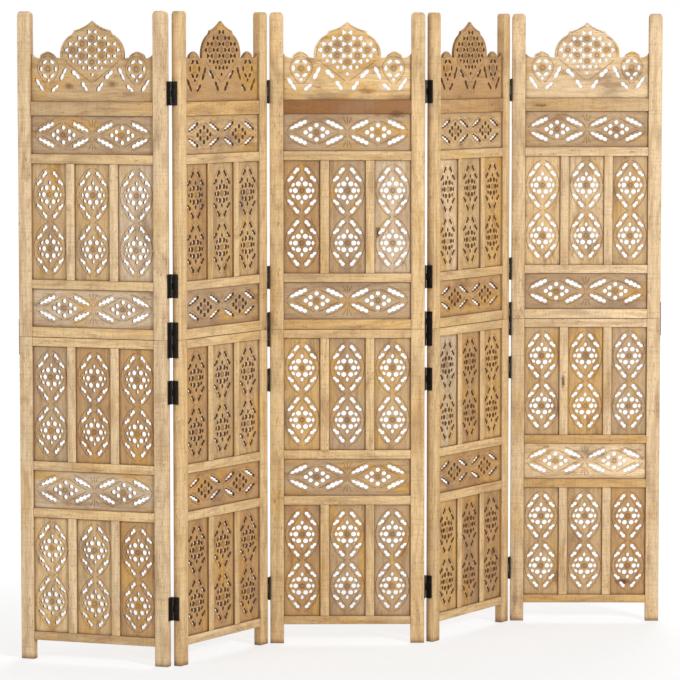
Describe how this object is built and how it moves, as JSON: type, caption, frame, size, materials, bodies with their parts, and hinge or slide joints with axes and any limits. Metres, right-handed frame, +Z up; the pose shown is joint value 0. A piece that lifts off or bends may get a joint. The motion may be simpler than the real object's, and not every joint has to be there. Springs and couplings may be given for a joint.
{
  "type": "folding room divider",
  "caption": "Folding wooden screen of hinged panels with pierced fret boards, banded rails, a scalloped lattice crown and black butt hinges.",
  "frame": {"origin": "centre of the standing screen's box, on the floor under the posts", "axes": "+X along the middle panel to the viewer's right, +Y from the front through the screen to the back, +Z up"},
  "size_m": [1.696, 0.7269, 1.65],
  "materials": {
    "frame_wood": "pale natural hardwood, lightly waxed",
    "carved_wood": "carved natural hardwood, satin",
    "dowel_wood": "turned hardwood",
    "black_steel": "satin black paint"
  },
  "bodies": {
    "panel_1": {"panel_1_lower_posts": "frame_wood", "panel_1_upper_posts": "frame_wood", "panel_1_rails": "frame_wood", "panel_1_muntins": "frame_wood", "panel_1_crown": "carved_wood", "panel_1_bands": "carved_wood", "panel_1_frets": "carved_wood", "panel_1_dowels": "dowel_wood", "panel_1_screws": "black_steel", "hinge_12_left_leaves": "black_steel", "hinge_12_pins": "black_steel", "end_plate_left": "black_steel"},
    "panel_2": {"panel_2_lower_posts": "frame_wood", "panel_2_upper_posts": "frame_wood", "panel_2_rails": "frame_wood", "panel_2_muntins": "frame_wood", "panel_2_crown": "carved_wood", "panel_2_bands": "carved_wood", "panel_2_frets": "carved_wood", "panel_2_dowels": "dowel_wood", "panel_2_screws": "black_steel", "hinge_23_left_leaves": "black_steel", "hinge_23_pins": "black_steel", "hinge_12_right_leaves": "black_steel"},
    "panel_3": {"panel_3_lower_posts": "frame_wood", "panel_3_upper_posts": "frame_wood", "panel_3_rails": "frame_wood", "panel_3_muntins": "frame_wood", "panel_3_crown": "carved_wood", "panel_3_bands": "carved_wood", "panel_3_frets": "carved_wood", "panel_3_dowels": "dowel_wood", "panel_3_screws": "black_steel", "hinge_34_left_leaves": "black_steel", "hinge_34_pins": "black_steel", "hinge_23_right_leaves": "black_steel"},
    "panel_4": {"panel_4_lower_posts": "frame_wood", "panel_4_upper_posts": "frame_wood", "panel_4_rails": "frame_wood", "panel_4_muntins": "frame_wood", "panel_4_crown": "carved_wood", "panel_4_bands": "carved_wood", "panel_4_frets": "carved_wood", "panel_4_dowels": "dowel_wood", "panel_4_screws": "black_steel", "hinge_45_left_leaves": "black_steel", "hinge_45_pins": "black_steel", "hinge_34_right_leaves": "black_steel"},
    "panel_5": {"panel_5_lower_posts": "frame_wood", "panel_5_upper_posts": "frame_wood", "panel_5_rails": "frame_wood", "panel_5_muntins": "frame_wood", "panel_5_crown": "carved_wood", "panel_5_bands": "carved_wood", "panel_5_frets": "carved_wood", "panel_5_dowels": "dowel_wood", "panel_5_screws": "black_steel", "hinge_45_right_leaves": "black_steel", "end_plate_right": "black_steel"}
  },
  "joints": [
    {"name": "fold_12", "type": "hinge", "parent": "panel_2", "child": "panel_1", "pos_m": [-0.4576, -0.34199, 0.8271], "axis": [0, 0, -1], "range_deg": [-77, 103]},
    {"name": "fold_23", "type": "hinge", "parent": "panel_3", "child": "panel_2", "pos_m": [-0.21274, -0.01452, 0.8271], "axis": [0, 0, 1], "range_deg": [-57, 118]},
    {"name": "fold_34", "type": "hinge", "parent": "panel_3", "child": "panel_4", "pos_m": [0.19526, 0.01248, 0.8271], "axis": [0, 0, 1], "range_deg": [-57, 118]},
    {"name": "fold_45", "type": "hinge", "parent": "panel_4", "child": "panel_5", "pos_m": [0.44011, 0.33995, 0.8271], "axis": [0, 0, -1], "range_deg": [-58.5, 121.5]}
  ]
}
